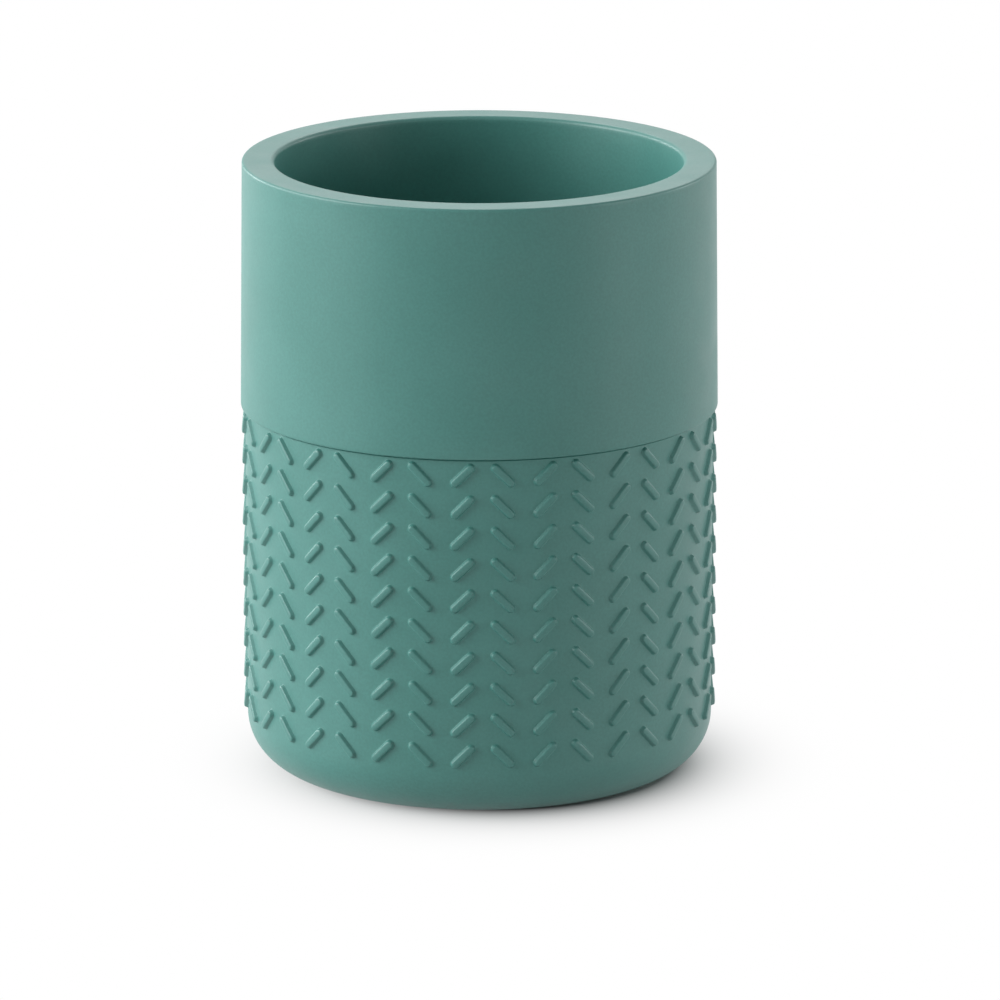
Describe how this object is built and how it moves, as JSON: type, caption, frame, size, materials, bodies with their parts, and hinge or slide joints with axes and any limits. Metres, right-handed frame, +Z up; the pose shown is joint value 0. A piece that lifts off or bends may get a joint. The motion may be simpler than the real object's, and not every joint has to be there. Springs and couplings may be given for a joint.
{
  "type": "bathroom tumbler",
  "caption": "Straight-sided bathroom tumbler with a smooth collar standing proud of a lower wall with raised herringbone dashes, a round foot and an anti-slip disc.",
  "frame": {"origin": "on the table under the middle of the grip disc", "axes": "+Z up along the cup's axis, -Y towards the viewer of the picture, +X to the viewer's right"},
  "size_m": [0.0788, 0.0788, 0.1026],
  "materials": {
    "satin_resin": "satin painted cast resin",
    "grip_rubber": "matte pebbled rubber"
  },
  "bodies": {
    "root": {"smooth_collar": "satin_resin", "textured_cup": "satin_resin", "grip_disc": "grip_rubber"}
  },
  "joints": []
}
